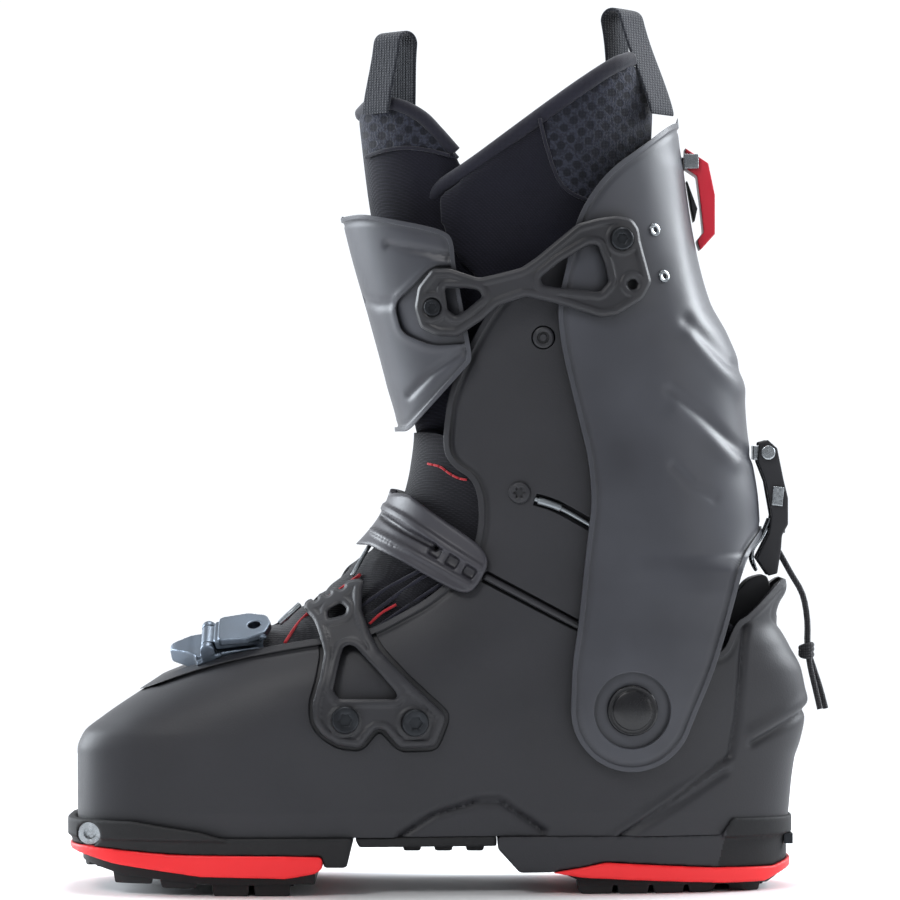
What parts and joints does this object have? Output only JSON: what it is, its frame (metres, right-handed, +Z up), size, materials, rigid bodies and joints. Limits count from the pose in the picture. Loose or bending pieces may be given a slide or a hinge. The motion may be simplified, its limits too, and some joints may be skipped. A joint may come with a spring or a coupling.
{
  "type": "alpine touring ski boot",
  "caption": "Stiff hinged-cuff touring ski boot with padded liner, shin plate, cross link, buckles, walk lever, pull loops and red rockered sole bands.",
  "frame": {"origin": "centre of the boot's plan box on the ground plane", "axes": "+Z up the shaft, toe towards -X, medial side towards -Y, cuff pivot along Y"},
  "size_m": [0.3188, 0.1264, 0.3675],
  "materials": {
    "shell": "fine moulded grain",
    "board": "smooth",
    "sole_block": "matte",
    "red_band": "satin",
    "rubber": "matte",
    "insert_steel": "brushed",
    "steel": "brushed",
    "bracket": "fine grain",
    "bolt": "satin black",
    "gaiter_fabric": "woven",
    "lever_metal": "satin anodised",
    "wire": "drawn wire",
    "strap": "satin",
    "cable_sheath": "smooth",
    "rivet_cap": "satin black",
    "cuff": "satin, fine grain",
    "black_plastic": "satin black",
    "red_hook": "satin",
    "liner_fabric": "padded textile",
    "webbing": "woven webbing",
    "cord": "braided"
  },
  "bodies": {
    "shell": {"lower_shell": "shell", "boot_board": "board", "toe_sole_block": "sole_block", "toe_red_band": "red_band", "toe_tread": "rubber", "sole_shank": "rubber", "heel_sole_block": "sole_block", "heel_red_band": "red_band", "heel_tread": "rubber", "toe_insert": "insert_steel", "heel_insert": "insert_steel", "sole_screws": "steel", "rack_bracket": "bracket", "rack_bolts": "bolt", "gaiter": "gaiter_fabric", "toe_buckle_base": "lever_metal", "instep_strap": "strap", "instep_cable": "cable_sheath", "instep_wire": "wire", "instep_base": "bracket", "pivot_rivets": "rivet_cap", "cable_anchor": "bolt", "anchor_cable": "wire", "shell_plug": "rivet_cap", "heel_latch_bar": "steel", "liner_foot": "liner_fabric"},
    "cuff": {"cuff": "cuff", "cuff_nuts": "steel", "x_link_bolt": "bolt", "cuff_base": "bracket", "walk_lever_pin": "steel", "hook_wedge": "black_plastic", "hook_rivet": "steel", "liner_shaft": "liner_fabric", "liner_tongue": "liner_fabric", "front_loop": "webbing", "rear_loop": "webbing"},
    "front_plate": {"shin_plate": "cuff", "x_link": "bracket", "x_link_rivet": "bolt", "plate_ladder": "lever_metal"},
    "walk_lever": {"walk_lever": "black_plastic", "walk_lever_plate": "steel", "latch_wire": "wire", "pull_cord": "cord", "tail_cord": "cord", "cord_knot": "cord"},
    "rear_hook": {"rear_hook": "red_hook"},
    "toe_lever": {"toe_buckle_lever": "lever_metal"},
    "toe_cable": {"toe_cable": "wire"},
    "instep_lever": {"instep_lever": "lever_metal"},
    "instep_bail": {"instep_bail": "wire"},
    "cuff_lever": {"cuff_lever": "lever_metal"},
    "cuff_bail": {"cuff_bail": "wire"}
  },
  "joints": [
    {"name": "cuff_lean", "type": "hinge", "parent": "shell", "child": "cuff", "pos_m": [0.081, 0, 0.076], "axis": [0, -1, 0], "range_deg": [0, 6]},
    {"name": "front_plate_lift", "type": "hinge", "parent": "cuff", "child": "front_plate", "pos_m": [0.0765, 0, 0.269], "axis": [0, 1, 0], "range_deg": [0, 5]},
    {"name": "walk_lever_flip", "type": "hinge", "parent": "cuff", "child": "walk_lever", "pos_m": [0.1393, 0, 0.1816], "axis": [0, -1, 0], "range_deg": [0, 60]},
    {"name": "rear_hook_swing", "type": "hinge", "parent": "cuff", "child": "rear_hook", "pos_m": [0.1083, 0, 0.3036], "axis": [0, -1, 0], "range_deg": [0, 12]},
    {"name": "toe_lever_open", "type": "hinge", "parent": "shell", "child": "toe_lever", "pos_m": [-0.094, -0.027, 0.1044], "axis": [0, -0.8387, -0.5446], "range_deg": [0, 100]},
    {"name": "toe_cable_turn", "type": "hinge", "parent": "toe_lever", "child": "toe_cable", "pos_m": [-0.07461, -0.03013, 0.10923], "axis": [0, -0.8387, -0.5446], "range_deg": [-110, 0]},
    {"name": "instep_lever_open", "type": "hinge", "parent": "shell", "child": "instep_lever", "pos_m": [0.03, 0.05107, 0.136], "axis": [0.4714, 0.0002, 0.8819], "range_deg": [0, 115]},
    {"name": "instep_bail_turn", "type": "hinge", "parent": "instep_lever", "child": "instep_bail", "pos_m": [0.03398, 0.05597, 0.13387], "axis": [0.4714, 0.0002, 0.8819], "range_deg": [-130, 0]},
    {"name": "cuff_lever_open", "type": "hinge", "parent": "cuff", "child": "cuff_lever", "pos_m": [0.066, 0.05888, 0.252], "axis": [-0.0342, 0.0071, 0.9994], "range_deg": [0, 115]},
    {"name": "cuff_bail_turn", "type": "hinge", "parent": "cuff_lever", "child": "cuff_bail", "pos_m": [0.07166, 0.06238, 0.25217], "axis": [-0.0342, 0.0071, 0.9994], "range_deg": [-130, 0]}
  ],
  "couplings": [
    {"joint": "toe_cable_turn", "follows": "toe_lever_open", "ratio": -1.05},
    {"joint": "instep_bail_turn", "follows": "instep_lever_open", "ratio": -1.1},
    {"joint": "cuff_bail_turn", "follows": "cuff_lever_open", "ratio": -1.1}
  ]
}
